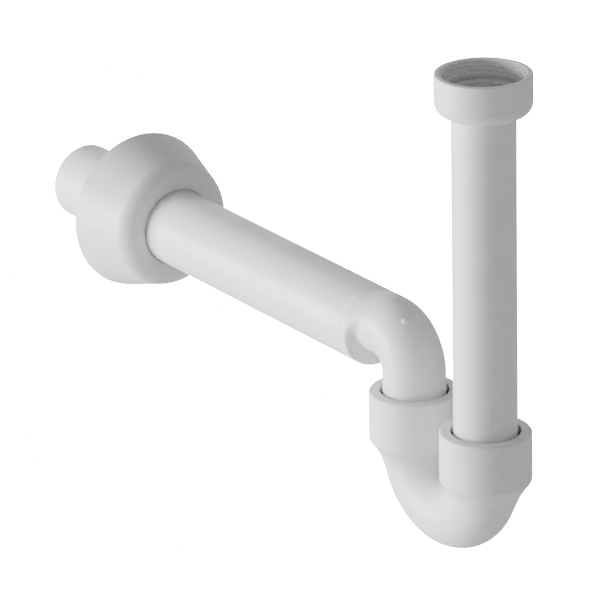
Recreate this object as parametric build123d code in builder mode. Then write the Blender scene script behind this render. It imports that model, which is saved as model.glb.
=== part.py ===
"""Basin P trap: 32 mm inlet, U bend with two screwed slip joints, elbow and 40 mm pipe into the wall.

Millimetres, +Z up. The origin is where the pipe's axis meets the face of the wall, and +Y goes into the
wall. Both legs of the trap stand in the YZ plane, on the room side of the wall.
"""

from build123d import *
import math
import os

# Layout
INLET_Y = -310.0
LEG_SPACING = 60.5
OUTLET_Y = INLET_Y + LEG_SPACING
SEAT_Z = 151.1
FRONT_NUT_TOP = -25.2
REAR_NUT_TOP = -22.9
BEND_CENTRE_Z = -49.0

# Tubes
TUBE_R = 16.0
TUBE_WALL = 1.9
TUBE_BORE_R = TUBE_R - TUBE_WALL
BEND_R = 16.8
BEND_BORE_R = 14.6
PIPE_R = 20.0
PIPE_BORE_R = 18.2
PIPE_START_Y = -211.0
PIPE_END_Y = 56.0
DEPTH_MARK_Y = -2.0
DEPTH_MARK_WIDTH = 1.4
DEPTH_MARK_SUNK = 0.3
EDGE = 0.5

# Pipe thread G 1 1/4: radii of the two threads, which clear each other by about 0.2 mm all over
PITCH = 2.309
FLANK = math.tan(math.radians(27.5))
MALE_CREST_R = 20.8
MALE_ROOT_R = 19.3
FEMALE_CREST_R = 19.5
FEMALE_ROOT_R = 21.05
ROOT_HALF_WIDTH = 0.22
UNDERCUT_MALE_R = 19.2
UNDERCUT_FEMALE_R = 21.15
TOOL_OVERRUN = 0.3
MALE_SEAM = 40.0
FEMALE_SEAM = 200.0
UNION_SEAM = 90.0
MIN_GROOVE_SHARE = 0.85
THREAD_RUNOUT = 2.0
SLEEVE_BURIED = 0.7

# Slip joint, heights below the top of its nut
NUT_R = 23.1
NUT_HOLE_R = 17.7
NUT_EDGE = 1.2
NUT_ROOF = 4.0
NUT_RELIEF = (7.5, 10.2)
NUT_MOUTH = 26.1
NUT_HEIGHT = 27.3
SLIP_RING_END = 6.5
SLIP_RING_R = 19.2
SLIP_RING_BORE_R = 16.2
SEAL_TOP = 6.55
SEAL_STEP = 8.8
SEAL_END = 13.8
SEAL_FLANGE_R = 18.9
SEAL_BORE_R = 16.08
SEAL_GAP = 0.15
SOCKET_TOP = 9.0
SOCKET_MOUTH_R = 18.3
SOCKET_CONE_END = 15.0
SOCKET_BORE_R = 16.3
SOCKET_FLOOR = 23.5
MALE_START = 10.5
MALE_END = 24.9
CONE_TOP = 26.0
CONE_ROUND = 3.0
CONE_END = 34.0
COLLAR_TOP = 27.4
TUBE_END = 21.0

# Inlet union, heights above the sink waste's seat
UNION_R = 24.2
UNION_RIM = 9.8
UNION_MOUTH_R = 21.6
UNION_THREAD = (0.9, 9.0)
UNION_CREST_R = 20.5
UNION_ROOT_HALF_WIDTH = 0.2
UNION_RELIEF_BOTTOM = -1.6
UNION_SHOULDER = -6.2
UNION_BOTTOM = -11.0
UNION_HOLE_R = 16.3
UNION_RIM_EDGE = 0.7
UNION_ROUND = 6.6
FLANGE_R = 19.35
GASKET_BORE_R = 14.4
GASKET_T = 2.0
FLANGE_T = 3.0
UNION_RING_T = 1.15
UNION_RING_BORE_R = 16.1

# Elbow
ELBOW_AXIS_Z = 4.9
ELBOW_BEND_R = 19.3
ELBOW_CAP_Y = -219.5
CAP_EDGE = 4.0
CAP_OVERLAP = 0.5
SPIGOT_LENGTH = 20.0
SPIGOT_BORE_R = 16.0
GATE_R = 1.7
GATE_H = 0.6
GATE_SUNK = 1.0
GATE_EDGE = 0.35
GATE_ALONG = 58.6
GATE_AROUND = 14.0

# Wall rosette
ROSETTE_DEPTH = 34.7
ROSETTE_R = 42.0
ROSETTE_SLOPE = 0.3
ROSETTE_ROUND = 10.5
ROSETTE_WALL = 2.0
ROSETTE_BORE_R = 20.08
ROSETTE_LEAD = 0.9
SLEEVE_R = 22.0
SLEEVE_LENGTH = 14.0


def leg_plane(y, z):
    """Upright plane through a leg: local x is the radius, local y the height above z."""
    return Plane(origin=(0, y, z), x_dir=(1, 0, 0), z_dir=(0, -1, 0))


def leg_axis(y):
    return Axis((0, y, 0), (0, 0, 1))


def thread_cutter(z_start, length, inner, outer):
    """Helical trapezoid round the Z axis; inner and outer are its (radius, half width) at each side."""
    with BuildPart() as cutter:
        with BuildLine():
            Helix(PITCH, length, (inner[0] + outer[0]) / 2, center=(0, 0, z_start))
        with BuildSketch(leg_plane(0, z_start)):
            with BuildLine():
                Polyline(
                    (inner[0], -inner[1]),
                    (outer[0], -outer[1]),
                    (outer[0], outer[1]),
                    (inner[0], inner[1]),
                    close=True,
                )
            make_face()
        sweep(is_frenet=True)
    return cutter.part


def thread_sleeve(z_low, z_high, phase, bore_r, outer_r, inner, outer, seam):
    """Ring on the Z axis with a helical groove whose turns stand at phase plus whole pitches.

    The ring is cut with its seam turned by seam degrees from the groove's start, then turned back.
    """
    turns_below = math.ceil((phase - z_low + THREAD_RUNOUT) / PITCH)
    start = phase - turns_below * PITCH
    groove = thread_cutter(start, z_high + THREAD_RUNOUT - start, inner, outer).rotate(Axis.Z, seam)
    root = inner if inner[1] < outer[1] else outer
    crest_r = bore_r if root is outer else outer_r
    depth = abs(root[0] - crest_r)
    section = depth * (2 * root[1] + depth * FLANK)
    groove_volume = section * math.pi * (root[0] + crest_r) * (z_high - z_low) / PITCH
    with BuildPart() as sleeve:
        with BuildSketch(Plane.XY.offset(z_low)):
            Circle(outer_r)
            Circle(bore_r, mode=Mode.SUBTRACT)
        extrude(amount=z_high - z_low)
        uncut = sleeve.part.volume
        add(groove, mode=Mode.SUBTRACT)
    if sleeve.part.volume > uncut - MIN_GROOVE_SHARE * groove_volume:
        raise ValueError("the thread groove was not cut")
    return sleeve.part.rotate(Axis.Z, -seam)


def male_sleeve(z_low, z_high, phase):
    """Outside thread, to be fused onto the spigot inside it."""
    depth = MALE_CREST_R + TOOL_OVERRUN - MALE_ROOT_R
    inner = (MALE_ROOT_R, ROOT_HALF_WIDTH)
    outer = (MALE_ROOT_R + depth, ROOT_HALF_WIDTH + depth * FLANK)
    bore_r = UNDERCUT_MALE_R - SLEEVE_BURIED
    return thread_sleeve(z_low, z_high, phase, bore_r, MALE_CREST_R, inner, outer, MALE_SEAM)


def female_sleeve(z_low, z_high, phase, crest_r, half_width, seam):
    """Inside thread, to be fused into the nut round it."""
    depth = FEMALE_ROOT_R + TOOL_OVERRUN - crest_r
    inner = (FEMALE_ROOT_R - depth, half_width + depth * FLANK)
    outer = (FEMALE_ROOT_R, half_width)
    outer_r = UNDERCUT_FEMALE_R + SLEEVE_BURIED
    return thread_sleeve(z_low, z_high, phase, crest_r, outer_r, inner, outer, seam)


def cone_radius(depth):
    """Outside of the cone that leads from the nut down to the bend."""
    return NUT_R - (NUT_R - BEND_R) * (depth - CONE_TOP) / (CONE_END - CONE_TOP)


def make_ring(name, y, z_top, height, bore_r, outer_r):
    """Flat ring round a leg."""
    with BuildPart() as ring:
        with BuildSketch(Plane.XY.offset(z_top - height)):
            with Locations((0, y)):
                Circle(outer_r)
                Circle(bore_r, mode=Mode.SUBTRACT)
        extrude(amount=height)
    ring.part.label = name
    export_step(ring.part, f"parts/{name}.step")


def make_union_nut():
    """Nut with its mouth up; the sink waste's thread screws into it, between blunt wide crests."""
    low, high = UNION_THREAD
    thread = female_sleeve(low, high, low, UNION_CREST_R, UNION_ROOT_HALF_WIDTH, UNION_SEAM)
    with BuildPart() as nut:
        with BuildSketch(leg_plane(INLET_Y, SEAT_Z)) as profile:
            with BuildLine():
                Polyline(
                    (UNION_HOLE_R, UNION_BOTTOM),
                    (UNION_R, UNION_BOTTOM),
                    (UNION_R, UNION_RIM),
                    (UNION_MOUTH_R, UNION_RIM),
                    (UNDERCUT_FEMALE_R, high),
                    (UNDERCUT_FEMALE_R, UNION_RELIEF_BOTTOM),
                    (FEMALE_CREST_R, UNION_RELIEF_BOTTOM),
                    (FEMALE_CREST_R, UNION_SHOULDER),
                    (UNION_HOLE_R, UNION_SHOULDER),
                    close=True,
                )
            make_face()
            fillet(profile.vertices().group_by(Axis.X)[-1].sort_by(Axis.Y)[-1], UNION_RIM_EDGE)
            fillet(profile.vertices().group_by(Axis.X)[-1].sort_by(Axis.Y)[0], UNION_ROUND)
        revolve(axis=leg_axis(INLET_Y))
        add(thread.moved(Location((0, INLET_Y, SEAT_Z))))
    nut.part.label = "inlet_union_nut"
    export_step(nut.part, "parts/inlet_union_nut.step")


def make_inlet_tube():
    """Straight tube hanging by a flange, with its plain lower end in the trap."""
    flange_top = SEAT_Z - GASKET_T
    bottom = FRONT_NUT_TOP - TUBE_END
    with BuildPart() as tube:
        with BuildSketch(leg_plane(INLET_Y, flange_top)) as profile:
            with BuildLine():
                Polyline(
                    (TUBE_BORE_R, 0),
                    (FLANGE_R, 0),
                    (FLANGE_R, -FLANGE_T),
                    (TUBE_R, -FLANGE_T),
                    (TUBE_R, bottom - flange_top),
                    (TUBE_BORE_R, bottom - flange_top),
                    close=True,
                )
            make_face()
        revolve(axis=leg_axis(INLET_Y))
        end = tube.faces().sort_by(Axis.Z)[0]
        chamfer(end.outer_wire().edges(), EDGE)
    tube.part.label = "inlet_tube"
    export_step(tube.part, "parts/inlet_tube.step")


def make_compression_nut(name, y, top):
    """Round nut with a flat roof over the slip ring and an inside thread below it."""
    low, high = -NUT_MOUTH, -NUT_RELIEF[1]
    phase = PITCH / 2 - MALE_END
    thread = female_sleeve(low, high, phase, FEMALE_CREST_R, ROOT_HALF_WIDTH, FEMALE_SEAM)
    with BuildPart() as nut:
        with BuildSketch(leg_plane(y, top)) as profile:
            with BuildLine():
                Polyline(
                    (NUT_HOLE_R, 0),
                    (NUT_R, 0),
                    (NUT_R, -CONE_TOP),
                    (cone_radius(NUT_HEIGHT), -NUT_HEIGHT),
                    (UNDERCUT_FEMALE_R, -NUT_HEIGHT),
                    (UNDERCUT_FEMALE_R, -NUT_RELIEF[0]),
                    (FEMALE_CREST_R, -NUT_RELIEF[0]),
                    (FEMALE_CREST_R, -NUT_ROOF),
                    (NUT_HOLE_R, -NUT_ROOF),
                    close=True,
                )
            make_face()
            fillet(profile.vertices().group_by(Axis.X)[-1].sort_by(Axis.Y)[0], CONE_ROUND)
            fillet(profile.vertices().group_by(Axis.Y)[-1].sort_by(Axis.X)[-1], NUT_EDGE)
        revolve(axis=leg_axis(y))
        add(thread.moved(Location((0, y, top))))
    nut.part.label = name
    export_step(nut.part, f"parts/{name}.step")


def make_seal(name, y, top):
    """Wedge seal: a flange under the slip ring and a cone in the socket's mouth."""
    cone = (SOCKET_MOUTH_R - SOCKET_BORE_R) / (SOCKET_CONE_END - SOCKET_TOP)
    step_r = SOCKET_MOUTH_R - SEAL_GAP - cone * (SEAL_STEP - SOCKET_TOP)
    tip_r = SOCKET_MOUTH_R - SEAL_GAP - cone * (SEAL_END - SOCKET_TOP)
    with BuildPart() as seal:
        with BuildSketch(leg_plane(y, top)):
            with BuildLine():
                Polyline(
                    (SEAL_BORE_R, -SEAL_TOP),
                    (SEAL_FLANGE_R, -SEAL_TOP),
                    (SEAL_FLANGE_R, -SEAL_STEP),
                    (step_r, -SEAL_STEP),
                    (tip_r, -SEAL_END),
                    (SEAL_BORE_R, -SEAL_END),
                    close=True,
                )
            make_face()
        revolve(axis=leg_axis(y))
    seal.part.label = name
    export_step(seal.part, f"parts/{name}.step")


def make_socket(y, top):
    """Screwed end of the trap: threaded spigot, collar and cone, bored for tube and seal.

    Local heights are measured from the top of the nut that it belongs to.
    """
    thread = male_sleeve(-MALE_END, -MALE_START, -MALE_END)
    with BuildPart() as socket:
        with BuildSketch(leg_plane(y, top)):
            with BuildLine():
                Polyline(
                    (SOCKET_MOUTH_R, -SOCKET_TOP),
                    (UNDERCUT_MALE_R, -SOCKET_TOP),
                    (UNDERCUT_MALE_R, -COLLAR_TOP),
                    (cone_radius(COLLAR_TOP), -COLLAR_TOP),
                    (BEND_R, -CONE_END),
                    (BEND_BORE_R, -CONE_END),
                    (BEND_BORE_R, -SOCKET_FLOOR),
                    (SOCKET_BORE_R, -SOCKET_FLOOR),
                    (SOCKET_BORE_R, -SOCKET_CONE_END),
                    close=True,
                )
            make_face()
        revolve(axis=leg_axis(y))
        add(thread.moved(Location((0, y, top))))
    return socket.part


def make_trap_bend():
    """U bend between its two sockets, bored right through."""
    front = make_socket(INLET_Y, FRONT_NUT_TOP)
    rear = make_socket(OUTLET_Y, REAR_NUT_TOP)
    turn_axis = Axis((0, INLET_Y + LEG_SPACING / 2, BEND_CENTRE_Z), (1, 0, 0))
    with BuildPart() as trap_bend:
        add(front)
        add(rear)
        with BuildSketch(Plane.XY.offset(BEND_CENTRE_Z)):
            with Locations((0, INLET_Y)):
                Circle(BEND_R)
        revolve(axis=turn_axis, revolution_arc=180)
        with BuildSketch(Plane.XY.offset(BEND_CENTRE_Z)):
            with Locations((0, INLET_Y)):
                Circle(BEND_BORE_R)
        revolve(axis=turn_axis, revolution_arc=180, mode=Mode.SUBTRACT)
        for y, top in ((INLET_Y, FRONT_NUT_TOP), (OUTLET_Y, REAR_NUT_TOP)):
            floor = top - SOCKET_FLOOR
            with BuildSketch(Plane.XY.offset(BEND_CENTRE_Z)):
                with Locations((0, y)):
                    Circle(BEND_BORE_R)
            extrude(amount=floor - BEND_CENTRE_Z, mode=Mode.SUBTRACT)
    trap_bend.part.label = "trap_bend"
    export_step(trap_bend.part, "parts/trap_bend.step")


def elbow_run(radius, start_z, end_y):
    """Solid round bar along the elbow's centre line, from start_z up and over to end_y."""
    corner = (0, OUTLET_Y, ELBOW_AXIS_Z)
    with BuildPart() as run:
        with BuildLine() as line:
            FilletPolyline(
                (0, OUTLET_Y, start_z), corner, (0, end_y, ELBOW_AXIS_Z), radius=ELBOW_BEND_R
            )
        with BuildSketch(Plane.XY.offset(start_z)):
            with Locations((0, OUTLET_Y)):
                Circle(radius)
        sweep(path=line.line)
    return run.part


def make_outlet_elbow():
    """Elbow from the rear leg into a cap that steps up, off centre, to the wall pipe."""
    bottom = REAR_NUT_TOP - TUBE_END
    outside = elbow_run(TUBE_R, bottom, ELBOW_CAP_Y + CAP_EDGE + CAP_OVERLAP)
    bore = elbow_run(TUBE_BORE_R, bottom, PIPE_START_Y)
    bend_centre_y = OUTLET_Y + ELBOW_BEND_R
    bend_centre_z = ELBOW_AXIS_Z - ELBOW_BEND_R
    along = math.radians(GATE_ALONG)
    around = math.radians(GATE_AROUND)
    ring_y = -math.cos(along)
    ring_z = math.sin(along)
    outward = (-math.sin(around), ring_y * math.cos(around), ring_z * math.cos(around))
    root = TUBE_R - GATE_SUNK
    gate_y = bend_centre_y + ELBOW_BEND_R * ring_y + root * outward[1]
    gate_z = bend_centre_z + ELBOW_BEND_R * ring_z + root * outward[2]
    gate = Plane(origin=(root * outward[0], gate_y, gate_z), z_dir=outward)
    with BuildPart() as elbow:
        with BuildSketch(Plane.XZ.offset(-ELBOW_CAP_Y)):
            Circle(PIPE_R)
        extrude(amount=-(PIPE_START_Y - ELBOW_CAP_Y))
        fillet(elbow.edges().filter_by(GeomType.CIRCLE).sort_by(Axis.Y)[0], CAP_EDGE)
        add(outside)
        with BuildSketch(gate):
            Circle(GATE_R)
        extrude(amount=GATE_SUNK + GATE_H)
        fillet(elbow.faces().filter_by(GeomType.PLANE).filter_by(gate).edges(), GATE_EDGE)
        with BuildSketch(Plane.XZ.offset(-PIPE_START_Y)):
            Circle(PIPE_BORE_R)
        extrude(amount=-SPIGOT_LENGTH)
        with BuildSketch(Plane.XZ.offset(-PIPE_START_Y + 1.5)):
            Circle(SPIGOT_BORE_R)
        extrude(amount=-SPIGOT_LENGTH - 1.5, mode=Mode.SUBTRACT)
        add(bore, mode=Mode.SUBTRACT)
    elbow.part.label = "outlet_elbow"
    export_step(elbow.part, "parts/outlet_elbow.step")


def make_outlet_pipe():
    """Pipe from the elbow's cap through the rosette into the wall, with a ring that marks its depth."""
    with BuildPart() as pipe:
        with BuildSketch(Plane.XZ.offset(-PIPE_START_Y)):
            Circle(PIPE_R)
            Circle(PIPE_BORE_R, mode=Mode.SUBTRACT)
        extrude(amount=-(PIPE_END_Y - PIPE_START_Y))
        end = pipe.faces().sort_by(Axis.Y)[-1]
        chamfer(end.outer_wire().edges(), EDGE)
        with BuildSketch(Plane.XZ.offset(-DEPTH_MARK_Y)):
            Circle(PIPE_R + EDGE)
            Circle(PIPE_R - DEPTH_MARK_SUNK, mode=Mode.SUBTRACT)
        extrude(amount=-DEPTH_MARK_WIDTH, mode=Mode.SUBTRACT)
    pipe.part.label = "outlet_pipe"
    export_step(pipe.part, "parts/outlet_pipe.step")


def make_wall_rosette():
    """Thin bell that slides on the pipe and hides the hole in the wall."""
    front = -ROSETTE_DEPTH
    corner_r = ROSETTE_R - ROSETTE_SLOPE * ROSETTE_DEPTH
    inner_round = ROSETTE_ROUND - ROSETTE_WALL
    side = math.hypot(1, ROSETTE_SLOPE) * ROSETTE_WALL
    inner_front = front + ROSETTE_WALL
    inner_corner_r = corner_r + ROSETTE_SLOPE * ROSETTE_WALL - side
    with BuildPart() as rosette:
        with BuildSketch(Plane.XY) as profile:
            with BuildLine():
                FilletPolyline(
                    (ROSETTE_BORE_R, front),
                    (corner_r, front),
                    (ROSETTE_R, 0),
                    radius=ROSETTE_ROUND,
                )
                FilletPolyline(
                    (SLEEVE_R, inner_front),
                    (inner_corner_r, inner_front),
                    (ROSETTE_R - side, 0),
                    radius=inner_round,
                )
                Line((ROSETTE_R, 0), (ROSETTE_R - side, 0))
                Polyline(
                    (SLEEVE_R, inner_front),
                    (SLEEVE_R, front + SLEEVE_LENGTH),
                    (ROSETTE_BORE_R, front + SLEEVE_LENGTH),
                    (ROSETTE_BORE_R, front),
                )
            make_face()
            mouth = profile.vertices().group_by(Axis.Y)[0].sort_by(Axis.X)[0]
            chamfer(mouth, ROSETTE_LEAD)
        revolve(axis=Axis.Y)
    rosette.part.label = "wall_rosette"
    export_step(rosette.part, "parts/wall_rosette.step")


os.makedirs("parts", exist_ok=True)
make_union_nut()
ring_top = SEAT_Z - GASKET_T - FLANGE_T
make_ring("union_slip_ring", INLET_Y, ring_top, UNION_RING_T, UNION_RING_BORE_R, FLANGE_R)
make_ring("inlet_gasket", INLET_Y, SEAT_Z, GASKET_T, GASKET_BORE_R, FLANGE_R)
make_inlet_tube()
for end, leg_y, nut_top in (("front", INLET_Y, FRONT_NUT_TOP), ("rear", OUTLET_Y, REAR_NUT_TOP)):
    make_compression_nut(f"{end}_compression_nut", leg_y, nut_top)
    slip_top = nut_top - NUT_ROOF
    slip_height = SLIP_RING_END - NUT_ROOF
    make_ring(f"{end}_slip_ring", leg_y, slip_top, slip_height, SLIP_RING_BORE_R, SLIP_RING_R)
    make_seal(f"{end}_seal", leg_y, nut_top)
make_trap_bend()
make_outlet_elbow()
make_outlet_pipe()
make_wall_rosette()
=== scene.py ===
import math

import bmesh
import bpy
import numpy as np
from mathutils import Matrix, Vector


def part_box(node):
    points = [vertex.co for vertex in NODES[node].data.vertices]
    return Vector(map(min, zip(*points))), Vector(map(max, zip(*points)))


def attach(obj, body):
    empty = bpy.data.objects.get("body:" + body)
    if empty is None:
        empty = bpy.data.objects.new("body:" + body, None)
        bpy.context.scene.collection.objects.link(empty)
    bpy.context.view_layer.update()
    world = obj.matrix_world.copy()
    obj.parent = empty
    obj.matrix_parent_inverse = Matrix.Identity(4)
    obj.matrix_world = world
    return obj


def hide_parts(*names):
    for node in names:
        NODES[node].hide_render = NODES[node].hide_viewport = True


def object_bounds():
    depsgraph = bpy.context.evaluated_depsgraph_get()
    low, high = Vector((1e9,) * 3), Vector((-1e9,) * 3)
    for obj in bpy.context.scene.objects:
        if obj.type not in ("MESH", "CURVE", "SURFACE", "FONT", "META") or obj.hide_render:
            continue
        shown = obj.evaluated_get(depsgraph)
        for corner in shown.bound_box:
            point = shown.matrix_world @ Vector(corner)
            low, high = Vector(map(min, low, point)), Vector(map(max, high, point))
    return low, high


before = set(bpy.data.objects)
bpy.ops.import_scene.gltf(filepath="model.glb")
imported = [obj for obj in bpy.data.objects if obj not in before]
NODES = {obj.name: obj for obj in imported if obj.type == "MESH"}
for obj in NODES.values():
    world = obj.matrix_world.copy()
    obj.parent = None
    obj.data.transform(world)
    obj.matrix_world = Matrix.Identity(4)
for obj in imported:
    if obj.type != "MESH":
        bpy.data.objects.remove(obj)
cad_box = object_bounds()

MM = 0.001


# ---------------------------------------------------------------- sizes taken from the CAD model, in mm

def box_mm(node):
    """Lowest and highest corner of a CAD node."""
    low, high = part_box(node)
    return np.array(low) / MM, np.array(high) / MM


front_nut_low, front_nut_high = box_mm("front_compression_nut")
rear_nut_low, rear_nut_high = box_mm("rear_compression_nut")
pipe_low, pipe_high = box_mm("outlet_pipe")

INLET_Y = (front_nut_low[1] + front_nut_high[1]) / 2.0
OUTLET_Y = (rear_nut_low[1] + rear_nut_high[1]) / 2.0
FRONT_NUT_TOP = front_nut_high[2]
REAR_NUT_TOP = rear_nut_high[2]
NUT_R = front_nut_high[0]
CAP_R = pipe_high[0]
PIPE_START_Y = pipe_low[1]


# ---------------------------------------------------------------- camera

CAMERA_ANGLES = (math.radians(-34.007), math.radians(21.041), math.radians(-1.038))
CAMERA_TARGET = Vector((-5.923, -157.201, -2.223))
CAMERA_DISTANCE = 3.05838
CAMERA_REACH = 20.0
SENSOR_WIDTH = 36.0
LENS = 359.18


def add_camera():
    """Long lens, looking down at the trap from the front left."""
    azimuth, elevation, roll = CAMERA_ANGLES
    target = CAMERA_TARGET * MM
    back = Vector((
        math.sin(azimuth) * math.cos(elevation),
        -math.cos(azimuth) * math.cos(elevation),
        math.sin(elevation),
    ))
    level = Vector((math.cos(azimuth), math.sin(azimuth), 0.0))
    upright = back.cross(level)
    right = level * math.cos(roll) + upright * math.sin(roll)
    up = upright * math.cos(roll) - level * math.sin(roll)
    data = bpy.data.cameras.new("camera")
    data.sensor_width = SENSOR_WIDTH
    data.lens = LENS
    data.clip_end = CAMERA_REACH
    camera = bpy.data.objects.new("camera", data)
    place = Matrix((right, up, back)).transposed().to_4x4()
    place.translation = target + back * CAMERA_DISTANCE
    camera.matrix_world = place
    bpy.context.scene.collection.objects.link(camera)
    bpy.context.scene.camera = camera


# ---------------------------------------------------------------- light and floor

WHITE = (1.0, 1.0, 1.0, 1.0)
BACKDROP_STRENGTH = 30.0
AMBIENT_SIDES = 0.76
AMBIENT_ABOVE = 0.30
FLOOR_DROP = 0.30
FLOOR_HALF = 5.0
FLOOR_PAINT = (0.85, 0.85, 0.85, 1.0)
FLOOR_ROUGHNESS = 0.9
CENTRE = Vector((0.0, -0.16, 0.0))
KEY_OFFSET = Vector((-1.66, 1.12, -0.15))
KEY_SIZE = (1.4, 1.4)
KEY_POWER = 206.0
RIM_OFFSET = Vector((1.2, 1.9, 0.3))
RIM_SIZE = (0.6, 1.6)
RIM_POWER = 7.0


def add_area(name, offset, size, power):
    """Rectangular light at an offset from the middle of the trap, turned to face it."""
    data = bpy.data.lights.new(name, "AREA")
    data.shape = "RECTANGLE"
    data.size = size[0]
    data.size_y = size[1]
    data.energy = power
    light = bpy.data.objects.new(name, data)
    light.location = CENTRE + offset
    light.rotation_euler = (-offset).to_track_quat("-Z", "Y").to_euler()
    bpy.context.scene.collection.objects.link(light)


def white_to_camera(tree, lit, glow_kind):
    """Mixes two shaders: the camera sees plain white, and everything else sees lit."""
    path = tree.nodes.new("ShaderNodeLightPath")
    glow = tree.nodes.new(glow_kind)
    glow.inputs["Color"].default_value = WHITE
    glow.inputs["Strength"].default_value = BACKDROP_STRENGTH
    mix = tree.nodes.new("ShaderNodeMixShader")
    tree.links.new(path.outputs["Is Camera Ray"], mix.inputs["Fac"])
    tree.links.new(lit.outputs[0], mix.inputs[1])
    tree.links.new(glow.outputs[0], mix.inputs[2])
    return mix


def add_world():
    """Even studio light, weaker from above."""
    world = bpy.data.worlds.new("studio")
    world.use_nodes = True
    tree = world.node_tree
    ambient = tree.nodes["Background"]
    ambient.inputs["Color"].default_value = WHITE
    direction = tree.nodes.new("ShaderNodeTexCoord")
    parts = tree.nodes.new("ShaderNodeSeparateXYZ")
    fade = tree.nodes.new("ShaderNodeMapRange")
    fade.inputs["From Min"].default_value = 0.0
    fade.inputs["From Max"].default_value = 1.0
    fade.inputs["To Min"].default_value = AMBIENT_SIDES
    fade.inputs["To Max"].default_value = AMBIENT_ABOVE
    tree.links.new(direction.outputs["Generated"], parts.inputs[0])
    tree.links.new(parts.outputs["Z"], fade.inputs["Value"])
    tree.links.new(fade.outputs["Result"], ambient.inputs["Strength"])
    mix = white_to_camera(tree, ambient, "ShaderNodeBackground")
    tree.links.new(mix.outputs[0], tree.nodes["World Output"].inputs["Surface"])
    bpy.context.scene.world = world


def add_floor():
    """Plain pale floor, well below the trap, which hangs in the air."""
    level = cad_box[0][2] - FLOOR_DROP
    mesh = bpy.data.meshes.new("floor")
    corners = [(x, y, level) for x, y in (
        (-FLOOR_HALF, -FLOOR_HALF), (FLOOR_HALF, -FLOOR_HALF),
        (FLOOR_HALF, FLOOR_HALF), (-FLOOR_HALF, FLOOR_HALF),
    )]
    mesh.from_pydata(corners, [], [(0, 1, 2, 3)])
    floor = bpy.data.objects.new("floor", mesh)
    bpy.context.scene.collection.objects.link(floor)
    paint = bpy.data.materials.new("floor_paint")
    paint.use_nodes = True
    tree = paint.node_tree
    shader = tree.nodes["Principled BSDF"]
    shader.inputs["Base Color"].default_value = FLOOR_PAINT
    shader.inputs["Roughness"].default_value = FLOOR_ROUGHNESS
    mix = white_to_camera(tree, shader, "ShaderNodeEmission")
    tree.links.new(mix.outputs[0], tree.nodes["Material Output"].inputs["Surface"])
    mesh.materials.append(paint)


add_camera()
add_world()
add_floor()
add_area("key", KEY_OFFSET, KEY_SIZE, KEY_POWER)
add_area("rim", RIM_OFFSET, RIM_SIZE, RIM_POWER)


# ---------------------------------------------------------------- materials

EVEN = (1.0, 1.0, 1.0)
ALONG_Y = (1.0, 0.03, 1.0)
ALONG_Z = (1.0, 1.0, 0.03)
TONE_SCALE = 28.0
GLOSS_SCALE = 65.0


class Surface:
    """A node material: two close tones, uneven gloss and fine relief, in the object's own metres."""

    def __init__(self, name, dark, light, gloss):
        self.material = bpy.data.materials.new(name)
        self.material.use_nodes = True
        self.tree = self.material.node_tree
        self.shader = self.tree.nodes["Principled BSDF"]
        self.place = self.tree.nodes.new("ShaderNodeTexCoord")
        self.normal = None
        tone = self.noise(TONE_SCALE, detail=4.0)
        self.link(self.ramp(tone, dark, light), self.shader.inputs["Base Color"])
        smear = self.noise(GLOSS_SCALE, detail=5.0)
        self.link(self.spread(smear, *gloss), self.shader.inputs["Roughness"])

    def link(self, source, target):
        self.tree.links.new(source, target)

    def noise(self, scale, detail=2.0, stretch=EVEN):
        """Cloudy noise; a small factor in stretch draws it out along that axis."""
        mapping = self.tree.nodes.new("ShaderNodeMapping")
        mapping.inputs["Scale"].default_value = stretch
        self.link(self.place.outputs["Object"], mapping.inputs["Vector"])
        node = self.tree.nodes.new("ShaderNodeTexNoise")
        node.inputs["Scale"].default_value = scale
        node.inputs["Detail"].default_value = detail
        self.link(mapping.outputs["Vector"], node.inputs["Vector"])
        return node.outputs["Fac"]

    def cells(self, scale):
        """Close-set pits, for an eroded grain."""
        node = self.tree.nodes.new("ShaderNodeTexVoronoi")
        node.inputs["Scale"].default_value = scale
        self.link(self.place.outputs["Object"], node.inputs["Vector"])
        return node.outputs["Distance"]

    def ramp(self, value, dark, light):
        """Colour between two tones, following a noise."""
        node = self.tree.nodes.new("ShaderNodeValToRGB")
        node.color_ramp.elements[0].position = 0.35
        node.color_ramp.elements[0].color = (*dark, 1.0)
        node.color_ramp.elements[1].position = 0.65
        node.color_ramp.elements[1].color = (*light, 1.0)
        self.link(value, node.inputs["Fac"])
        return node.outputs["Color"]

    def spread(self, value, low, high):
        """Number between low and high, following a noise."""
        node = self.tree.nodes.new("ShaderNodeMapRange")
        node.inputs["From Min"].default_value = 0.3
        node.inputs["From Max"].default_value = 0.7
        node.inputs["To Min"].default_value = low
        node.inputs["To Max"].default_value = high
        self.link(value, node.inputs["Value"])
        return node.outputs["Result"]

    def relief(self, height, depth, strength):
        """Adds a layer of bumps, depth metres deep, on top of the layers before it."""
        node = self.tree.nodes.new("ShaderNodeBump")
        node.inputs["Strength"].default_value = strength
        node.inputs["Distance"].default_value = depth
        self.link(height, node.inputs["Height"])
        if self.normal is not None:
            self.link(self.normal, node.inputs["Normal"])
        self.normal = node.outputs["Normal"]
        self.link(self.normal, self.shader.inputs["Normal"])


def moulded(name, dark, light, gloss):
    """Polypropylene from a polished mould: a faint orange peel with fine pores in it."""
    surface = Surface(name, dark, light, gloss)
    surface.relief(surface.noise(scale=260.0), depth=0.06 * MM, strength=0.5)
    surface.relief(surface.noise(scale=1900.0, detail=3.0), depth=0.012 * MM, strength=0.5)
    return surface.material


def grained(name, dark, light, gloss):
    """Polypropylene from a spark-eroded mould: an even, fine matte grain."""
    surface = Surface(name, dark, light, gloss)
    surface.relief(surface.cells(scale=1500.0), depth=0.02 * MM, strength=0.5)
    surface.relief(surface.noise(scale=230.0), depth=0.05 * MM, strength=0.4)
    return surface.material


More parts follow.
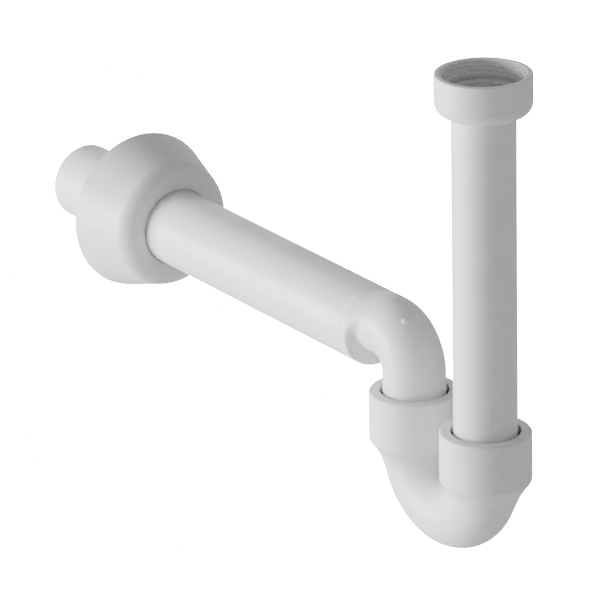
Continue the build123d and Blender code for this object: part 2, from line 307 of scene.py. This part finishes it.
def drawn(name, dark, light, gloss, stretch):
    """Extruded tube, with faint lines from the die along its length."""
    surface = Surface(name, dark, light, gloss)
    fine_lines = surface.noise(scale=620.0, detail=3.0, stretch=stretch)
    broad_lines = surface.noise(scale=140.0, stretch=stretch)
    surface.relief(fine_lines, depth=0.03 * MM, strength=0.6)
    surface.relief(broad_lines, depth=0.08 * MM, strength=0.4)
    return surface.material


def rubber(name, dark, light, gloss):
    """Matte moulded rubber."""
    surface = Surface(name, dark, light, gloss)
    surface.relief(surface.noise(scale=1100.0, detail=4.0), depth=0.03 * MM, strength=0.7)
    return surface.material


WHITE_LOW = (0.655, 0.660, 0.652)
WHITE_HIGH = (0.695, 0.698, 0.690)
GREY_LOW = (0.60, 0.61, 0.60)
GREY_HIGH = (0.66, 0.67, 0.66)
# BLACK tones: the seals' own black rubber; on the slip rings they are painted shade, standing in for
# the deep shadow in the gap under each nut
BLACK_LOW = (0.012, 0.012, 0.012)
BLACK_HIGH = (0.022, 0.022, 0.022)

bend_plastic = moulded("bend_plastic", WHITE_LOW, WHITE_HIGH, (0.36, 0.46))
rosette_plastic = moulded("rosette_plastic", WHITE_LOW, WHITE_HIGH, (0.32, 0.42))
nut_plastic = grained("nut_plastic", WHITE_LOW, WHITE_HIGH, (0.46, 0.56))
tube_plastic = drawn("tube_plastic", WHITE_LOW, WHITE_HIGH, (0.34, 0.44), ALONG_Z)
pipe_plastic = drawn("pipe_plastic", WHITE_LOW, WHITE_HIGH, (0.34, 0.44), ALONG_Y)
# slip rings painted black: painted shade for the deep shadow in the gap between each nut and its tube
slip_ring_painted_gap_shade = grained("slip_ring_painted_gap_shade", BLACK_LOW, BLACK_HIGH, (0.50, 0.62))
seal_rubber = rubber("seal_rubber", BLACK_LOW, BLACK_HIGH, (0.62, 0.74))
gasket_rubber = rubber("gasket_rubber", GREY_LOW, GREY_HIGH, (0.60, 0.75))

FINISHES = {
    "inlet_union_nut": nut_plastic,
    "union_slip_ring": slip_ring_painted_gap_shade,
    "inlet_gasket": gasket_rubber,
    "inlet_tube": tube_plastic,
    "front_compression_nut": nut_plastic,
    "rear_compression_nut": nut_plastic,
    "front_slip_ring": slip_ring_painted_gap_shade,
    "rear_slip_ring": slip_ring_painted_gap_shade,
    "front_seal": seal_rubber,
    "rear_seal": seal_rubber,
    "trap_bend": bend_plastic,
    "outlet_elbow": bend_plastic,
    "outlet_pipe": pipe_plastic,
    "wall_rosette": rosette_plastic,
}
for name, finish in FINISHES.items():
    for slot in NODES[name].material_slots:
        slot.material = finish


# ---------------------------------------------------------------- tools for remodelled castings

SKIN_GAP = 0.2
WELD = 0.002
CUT_TOLERANCE = 0.0001
SHARP = math.radians(32.0)
OUTER_COUNT = 216
BORE_COUNT = 96
HALVINGS = 28
FAR = 1000.0


def ease(value):
    """Runs smoothly from 0 to 1, level at both ends."""
    value = np.clip(value, 0.0, 1.0)
    return value * value * (3.0 - 2.0 * value)


def blend(a, b, width):
    """The smaller of two distances, rounded over where they cross."""
    return np.minimum(a, b) - np.maximum(width - np.abs(a - b), 0.0) ** 2 / (4.0 * width)


def in_plane(y, z):
    """Points, or directions, in the plane of symmetry."""
    return np.stack((np.zeros_like(y), y, z), axis=-1)


def ray_fans(ups, count):
    """For each ring, unit rays that turn from +X towards its up direction and on round."""
    turn = np.linspace(0.0, 2.0 * np.pi, count, endpoint=False)[None, :, None]
    return np.array((1.0, 0.0, 0.0)) * np.cos(turn) + ups[:, None] * np.sin(turn)


def shoot(middles, rays, field, reach):
    """Rings of points where the rays leave the solid, inside which field is negative."""
    near = np.zeros(rays.shape[:2])
    far = np.full(rays.shape[:2], reach)
    for _ in range(HALVINGS):
        half = (near + far) / 2.0
        outside = field(middles[:, None] + rays * half[..., None]) > 0.0
        far = np.where(outside, half, far)
        near = np.where(outside, near, half)
    return middles[:, None] + rays * half[..., None]


def kept_part(node, place, away, kept):
    """Mesh of a node, welded, cut off beyond a plane, and only where kept says so."""
    bm = bmesh.new()
    bm.from_mesh(node.data)
    bmesh.ops.remove_doubles(bm, verts=bm.verts, dist=WELD * MM)
    bmesh.ops.bisect_plane(
        bm, geom=bm.verts[:] + bm.edges[:] + bm.faces[:], dist=CUT_TOLERANCE * MM,
        plane_co=Vector(place) * MM, plane_no=Vector(away), clear_outer=True,
    )
    others = [face for face in bm.faces if not kept(face.calc_center_median() / MM)]
    bmesh.ops.delete(bm, geom=others, context="FACES")
    loose = [vert for vert in bm.verts if not vert.link_faces]
    bmesh.ops.delete(bm, geom=loose, context="VERTS")
    part = bpy.data.meshes.new("part")
    bm.to_mesh(part)
    bm.free()
    return part


def open_rims(bm):
    """The rims of the holes in a mesh, each as a list of edges."""
    left = {edge for edge in bm.edges if len(edge.link_faces) == 1}
    rims = []
    while left:
        rim, queue = [], [left.pop()]
        while queue:
            edge = queue.pop()
            rim.append(edge)
            for other in {other for vert in edge.verts for other in vert.link_edges} & left:
                left.remove(other)
                queue.append(other)
        rims.append(rim)
    return rims


def middle_and_size(edges):
    """Middle of a loop of edges, and its mean distance from there."""
    verts = {vert for edge in edges for vert in edge.verts}
    middle = sum((vert.co for vert in verts), Vector()) / len(verts)
    size = sum((vert.co - middle).length for vert in verts) / len(verts)
    return middle, size


def nearest_rim(rims, end):
    """The rim that fits the end of a skin best, in place and in size."""
    middle, size = middle_and_size(end)

    def gap(rim):
        place, radius = middle_and_size(rim)
        return (place - middle).length + abs(radius - size)

    return min(rims, key=gap)


def add_skin(bm, rings):
    """Joins rings of points into a tube of quads, and returns its two end loops."""
    rows = [[bm.verts.new(Vector(point) * MM) for point in ring] for ring in rings]
    for low, high in zip(rows, rows[1:]):
        for k in range(len(low)):
            bm.faces.new((low[k - 1], low[k], high[k], high[k - 1]))
    return [
        [bm.edges.get((row[k - 1], row[k])) for k in range(len(row))]
        for row in (rows[0], rows[-1])
    ]


def remodel(node_name, body, parts, skins):
    """Replaces a CAD casting by its kept parts and new skins between them, closed up."""
    bm = bmesh.new()
    for place, away, kept in parts:
        part = kept_part(NODES[node_name], place, away, kept)
        bm.from_mesh(part)
        bpy.data.meshes.remove(part)
    rims = open_rims(bm)
    if len(rims) != 2 * len(skins):
        raise ValueError(f"{node_name}: {len(rims)} open rims")
    for rings in skins:
        for end in add_skin(bm, rings):
            rim = nearest_rim(rims, end)
            rims.remove(rim)
            bmesh.ops.bridge_loops(bm, edges=end + rim)
    bmesh.ops.recalc_face_normals(bm, faces=bm.faces)
    mesh = bpy.data.meshes.new(f"{node_name}_body")
    bm.to_mesh(mesh)
    bm.free()
    mesh.shade_smooth()
    mesh.set_sharp_from_angle(angle=SHARP)
    mesh.materials.append(bend_plastic)
    piece = bpy.data.objects.new(mesh.name, mesh)
    bpy.context.scene.collection.objects.link(piece)
    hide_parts(node_name)
    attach(piece, body)


# ---------------------------------------------------------------- trap bend

TURN_R = (OUTLET_Y - INLET_Y) / 2.0
MIDDLE_Y = INLET_Y + TURN_R
BEND_R = 16.8
BEND_BORE_R = 14.6
BEND_CENTRE_Z = -49.0
CONE_TOP = 26.0
CONE_END = 34.0
CONE_BLEND = 4.2
BEND_SKIN_TOP = 27.7
BEND_RINGS = 170
BEND_REACH = 26.0
UNTILT = 0.8


def cone_distance(points, y, top):
    """Distance from the cone that carries on a nut's outside, below the nut's top."""
    depth = top - points[..., 2]
    slope = (NUT_R - BEND_R) / (CONE_END - CONE_TOP)
    radius = NUT_R - slope * (depth - CONE_TOP)
    across = np.hypot(points[..., 0], points[..., 1] - y)
    return (across - radius) / math.hypot(1.0, slope)


def bend_line_distance(points):
    """Distance from the U bend's centre line."""
    y = points[..., 1] - MIDDLE_Y
    z = points[..., 2] - BEND_CENTRE_Z
    sweep = np.where(z < 0.0, np.hypot(y, z), np.abs(y))
    return np.hypot(points[..., 0], sweep - TURN_R)


def bend_outside(points):
    """Distance from the outside of the tube and its two cones."""
    cones = np.minimum(
        cone_distance(points, INLET_Y, FRONT_NUT_TOP),
        cone_distance(points, OUTLET_Y, REAR_NUT_TOP),
    )
    return blend(bend_line_distance(points) - BEND_R, cones, CONE_BLEND)


def bend_bore(points):
    return bend_line_distance(points) - BEND_BORE_R


def make_bend():
    """The U bend, its cones run softly into the tube, with the CAD model's sockets and threads.

    The rings stand square to the bend, apart from those near the ends, which lean back to level.
    """
    front_z = FRONT_NUT_TOP - BEND_SKIN_TOP
    rear_z = REAR_NUT_TOP - BEND_SKIN_TOP
    start = math.asin((BEND_CENTRE_Z - front_z) / TURN_R)
    short_of_half_turn = math.asin((BEND_CENTRE_Z - rear_z) / TURN_R)
    stop = math.pi - short_of_half_turn
    angle = np.linspace(start, stop, BEND_RINGS)
    lean_front = start * (1.0 - ease((angle - start) / UNTILT))
    lean_rear = short_of_half_turn * (1.0 - ease((stop - angle) / UNTILT))
    tilt = angle - lean_front + lean_rear
    middles = in_plane(MIDDLE_Y - TURN_R * np.cos(angle), BEND_CENTRE_Z - TURN_R * np.sin(angle))
    ups = in_plane(-np.cos(tilt), -np.sin(tilt))
    parts = (
        ((0, 0, front_z + SKIN_GAP), (0, 0, -1), lambda place: place[1] < MIDDLE_Y),
        ((0, 0, rear_z + SKIN_GAP), (0, 0, -1), lambda place: place[1] > MIDDLE_Y),
    )
    skins = (
        shoot(middles, ray_fans(ups, OUTER_COUNT), bend_outside, BEND_REACH),
        shoot(middles, ray_fans(ups, BORE_COUNT), bend_bore, BEND_REACH),
    )
    remodel("trap_bend", "bend", parts, skins)


# ---------------------------------------------------------------- outlet elbow

TUBE_R = 16.0
TUBE_BORE_R = 14.1
ELBOW_BEND_R = 19.3
ELBOW_AXIS_Z = 4.9
TURN_Y = OUTLET_Y + ELBOW_BEND_R
TURN_Z = ELBOW_AXIS_Z - ELBOW_BEND_R
LEG_SKIN_Z = -20.0
CAP_SKIN_Y = PIPE_START_Y - 2.5
STEP_START_Y = PIPE_START_Y - 10.8
STEP_END_Y = PIPE_START_Y - 5.4
STEP_EARLIER_ON_TOP = 6.0
STEP_TOP_Z = 12.0
GATE_ALONG = math.radians(56.8)
GATE_AROUND = math.radians(18.0)
GATE_BALL_R = 2.1
GATE_RISE = 1.0
LEG_RINGS = 12
ARC_RINGS = 150
RUN_RINGS = 40
STEP_RINGS = 90
ELBOW_REACH = 27.0


def elbow_tube_distance(points):
    """Distance from the outside of the leg and the bend."""
    y = points[..., 1] - TURN_Y
    z = points[..., 2] - TURN_Z
    leg = np.where(z <= 0.0, np.hypot(points[..., 0], y + ELBOW_BEND_R), FAR)
    arc = np.hypot(points[..., 0], np.hypot(y, z) - ELBOW_BEND_R)
    arc = np.where((y <= 0.0) & (z > 0.0), arc, FAR)
    return np.minimum(leg, arc) - TUBE_R


def cap_distance(points):
    """Distance from the last straight run, where the tube swells into the cap below its axis.

    The step is short underneath and drawn out along the top, where it all but disappears.
    """
    start = STEP_START_Y - STEP_EARLIER_ON_TOP * ease(points[..., 2] / STEP_TOP_Z)
    share = ease((points[..., 1] - start) / (STEP_END_Y - start))
    across = np.hypot(points[..., 0], points[..., 2] - ELBOW_AXIS_Z * (1.0 - share))
    distance = across - TUBE_R - (CAP_R - TUBE_R) * share
    return np.where(points[..., 1] > TURN_Y, distance, FAR)


def gate_distance(points):
    """Distance from the ball whose top stands out of the elbow as the gate mark."""
    ring_y = -math.cos(GATE_ALONG)
    ring_z = math.sin(GATE_ALONG)
    lean = math.cos(GATE_AROUND)
    outward = np.array((-math.sin(GATE_AROUND), ring_y * lean, ring_z * lean))
    on_line = np.array((0.0, TURN_Y + ELBOW_BEND_R * ring_y, TURN_Z + ELBOW_BEND_R * ring_z))
    middle = on_line + outward * (TUBE_R + GATE_RISE - GATE_BALL_R)
    return np.linalg.norm(points - middle, axis=-1) - GATE_BALL_R


def elbow_outside(points):
    """Distance from the outside of the whole elbow."""
    body = np.minimum(elbow_tube_distance(points), cap_distance(points))
    return np.minimum(body, gate_distance(points))


def make_elbow():
    """The elbow, its cap's step faded into the tube, with the CAD model's leg end and spigot."""
    leg_z = np.linspace(LEG_SKIN_Z, TURN_Z, LEG_RINGS, endpoint=False)
    arc = np.linspace(0.0, math.pi / 2.0, ARC_RINGS)
    run_y = np.concatenate((
        np.linspace(TURN_Y, STEP_START_Y, RUN_RINGS)[1:],
        np.linspace(STEP_START_Y, CAP_SKIN_Y, STEP_RINGS)[1:],
    ))
    angle = np.concatenate((np.zeros_like(leg_z), arc, np.full_like(run_y, math.pi / 2.0)))
    ring_y = np.concatenate((
        np.full_like(leg_z, OUTLET_Y), TURN_Y - ELBOW_BEND_R * np.cos(arc), run_y,
    ))
    ring_z = np.concatenate((
        leg_z, TURN_Z + ELBOW_BEND_R * np.sin(arc), np.full_like(run_y, ELBOW_AXIS_Z),
    ))
    middles = in_plane(ring_y, ring_z)
    ups = in_plane(-np.cos(angle), np.sin(angle))
    parts = (
        ((0, 0, LEG_SKIN_Z - SKIN_GAP), (0, 0, 1), lambda place: place[1] < TURN_Y),
        ((0, CAP_SKIN_Y + SKIN_GAP, 0), (0, -1, 0), lambda place: place[1] > TURN_Y),
    )
    skins = (
        shoot(middles, ray_fans(ups, OUTER_COUNT), elbow_outside, ELBOW_REACH),
        middles[:, None] + ray_fans(ups, BORE_COUNT) * TUBE_BORE_R,
    )
    remodel("outlet_elbow", "wall_outlet", parts, skins)


make_bend()
make_elbow()
